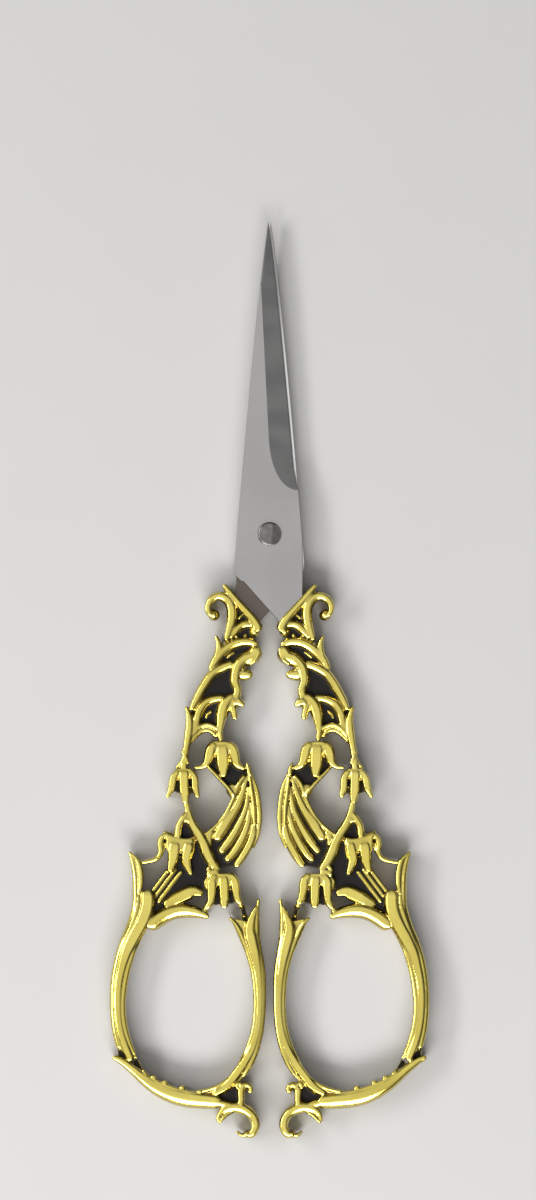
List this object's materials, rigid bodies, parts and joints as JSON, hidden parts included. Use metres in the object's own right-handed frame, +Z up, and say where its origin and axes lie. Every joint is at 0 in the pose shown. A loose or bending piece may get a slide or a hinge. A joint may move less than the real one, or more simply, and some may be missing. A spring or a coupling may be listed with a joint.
{
  "type": "embroidery scissors",
  "caption": "Slim embroidery scissors with pointed ground blades on a pivot rivet and openwork cast handles with bell flowers, leaf scrolls and finger loops.",
  "frame": {"origin": "on the pivot's axis, at the centre of the rivet's flat rear end, on the surface that the scissors lie on", "axes": "+Y from the pivot to the blade tips, +Z up out of the face that shows the front blade, +X to the right seen from +Z"},
  "size_m": [0.051, 0.1461, 0.0042],
  "materials": {
    "blade_steel": "satin ground steel",
    "gold_casting": "polished gold plate with black patina in the recesses",
    "rivet_steel": "polished steel"
  },
  "bodies": {
    "front_half": {"front_blade": "blade_steel", "right_handle": "gold_casting", "pivot_rivet": "rivet_steel"},
    "rear_half": {"rear_blade": "blade_steel", "left_handle": "gold_casting"}
  },
  "joints": [
    {"name": "pivot", "type": "hinge", "parent": "front_half", "child": "rear_half", "pos_m": [0, 0, 0.0021], "axis": [0, 0, -1], "range_deg": [0, 110]}
  ]
}
